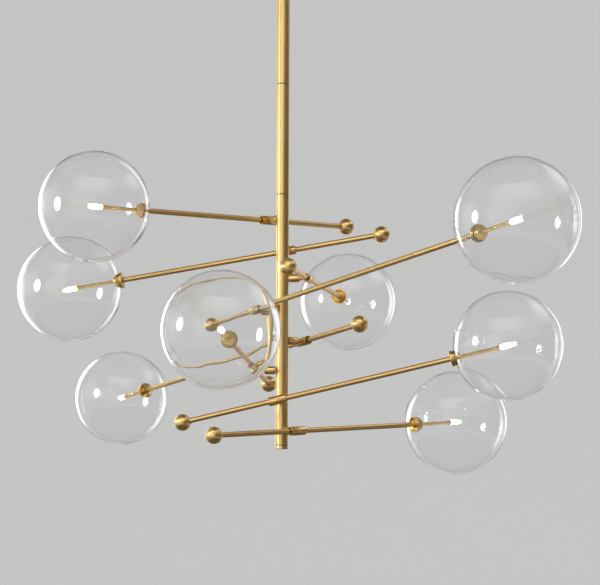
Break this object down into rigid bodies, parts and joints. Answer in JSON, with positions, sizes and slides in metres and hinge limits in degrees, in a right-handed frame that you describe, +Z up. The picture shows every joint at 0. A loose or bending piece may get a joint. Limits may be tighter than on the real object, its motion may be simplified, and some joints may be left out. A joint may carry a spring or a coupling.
{
  "type": "bubble chandelier",
  "caption": "Ceiling chandelier: a brass drop column with balanced swivel arms, each with a clear blown-glass globe at one end and a brass ball counterweight at the other.",
  "frame": {"origin": "centre of the flat top of the canopy's mounting strap, where it meets the ceiling", "axes": "+Z up the column and out of the mounting strap's top face, +X to the right and +Y away from the camera as seen in the picture"},
  "size_m": [1.0369, 1.5019, 0.9868],
  "materials": {
    "brass": "satin",
    "polished_brass": "polished",
    "clear_glass": "polished",
    "lamp_glass": "satin"
  },
  "bodies": {
    "root": {"ceiling_canopy": "brass", "upper_drop_rod": "brass", "lower_drop_rod": "brass", "column": "brass", "swivel_stub_1": "brass", "swivel_stub_2": "brass", "swivel_stub_3": "brass", "swivel_stub_4": "brass", "swivel_stub_5": "brass", "swivel_stub_6": "brass", "swivel_stub_7": "brass", "swivel_stub_8": "brass"},
    "arm_1": {"swivel_sleeve_1": "brass", "arm_rod_1": "brass", "counterweight_ball_1": "polished_brass", "globe_gallery_1": "brass", "glass_globe_1": "clear_glass", "lamp_1": "lamp_glass"},
    "arm_2": {"swivel_sleeve_2": "brass", "arm_rod_2": "brass", "counterweight_ball_2": "polished_brass", "globe_gallery_2": "brass", "glass_globe_2": "clear_glass", "lamp_2": "lamp_glass"},
    "arm_3": {"swivel_sleeve_3": "brass", "arm_rod_3": "brass", "counterweight_ball_3": "polished_brass", "globe_gallery_3": "brass", "glass_globe_3": "clear_glass", "lamp_3": "lamp_glass"},
    "arm_4": {"swivel_sleeve_4": "brass", "arm_rod_4": "brass", "counterweight_ball_4": "polished_brass", "globe_gallery_4": "brass", "glass_globe_4": "clear_glass", "lamp_4": "lamp_glass"},
    "arm_5": {"swivel_sleeve_5": "brass", "arm_rod_5": "brass", "counterweight_ball_5": "polished_brass", "globe_gallery_5": "brass", "glass_globe_5": "clear_glass", "lamp_5": "lamp_glass"},
    "arm_6": {"swivel_sleeve_6": "brass", "arm_rod_6": "brass", "counterweight_ball_6": "polished_brass", "globe_gallery_6": "brass", "glass_globe_6": "clear_glass", "lamp_6": "lamp_glass"},
    "arm_7": {"swivel_sleeve_7": "brass", "arm_rod_7": "brass", "counterweight_ball_7": "polished_brass", "globe_gallery_7": "brass", "glass_globe_7": "clear_glass", "lamp_7": "lamp_glass"},
    "arm_8": {"swivel_sleeve_8": "brass", "arm_rod_8": "brass", "counterweight_ball_8": "polished_brass", "globe_gallery_8": "brass", "glass_globe_8": "clear_glass", "lamp_8": "lamp_glass"}
  },
  "joints": [
    {"name": "arm_1_tilt", "type": "hinge", "parent": "root", "child": "arm_1", "pos_m": [-0.02831, 0.03999, -0.49934], "axis": [-0.5779, 0.8161, 0], "range_deg": [-15, 15]},
    {"name": "arm_2_tilt", "type": "hinge", "parent": "root", "child": "arm_2", "pos_m": [0.00766, 0.0484, -0.55801], "axis": [0.1564, 0.9877, 0], "range_deg": [-15, 15]},
    {"name": "arm_3_tilt", "type": "hinge", "parent": "root", "child": "arm_3", "pos_m": [0.04807, -0.00952, -0.61469], "axis": [0.981, -0.1942, 0], "range_deg": [-15, 8]},
    {"name": "arm_4_tilt", "type": "hinge", "parent": "root", "child": "arm_4", "pos_m": [-0.04123, -0.02647, -0.67142], "axis": [-0.8415, -0.5402, 0], "range_deg": [-15, 5]},
    {"name": "arm_5_tilt", "type": "hinge", "parent": "root", "child": "arm_5", "pos_m": [0.04072, 0.02726, -0.73354], "axis": [0.831, 0.5563, 0], "range_deg": [-5, 15]},
    {"name": "arm_6_tilt", "type": "hinge", "parent": "root", "child": "arm_6", "pos_m": [-0.0487, 0.00538, -0.78988], "axis": [-0.994, 0.1097, 0], "range_deg": [-5, 15]},
    {"name": "arm_7_tilt", "type": "hinge", "parent": "root", "child": "arm_7", "pos_m": [-0.008, -0.04834, -0.84739], "axis": [-0.1633, -0.9866, 0], "range_deg": [-15, 15]},
    {"name": "arm_8_tilt", "type": "hinge", "parent": "root", "child": "arm_8", "pos_m": [0.02866, -0.03974, -0.90509], "axis": [0.585, -0.8111, 0], "range_deg": [-15, 15]}
  ]
}
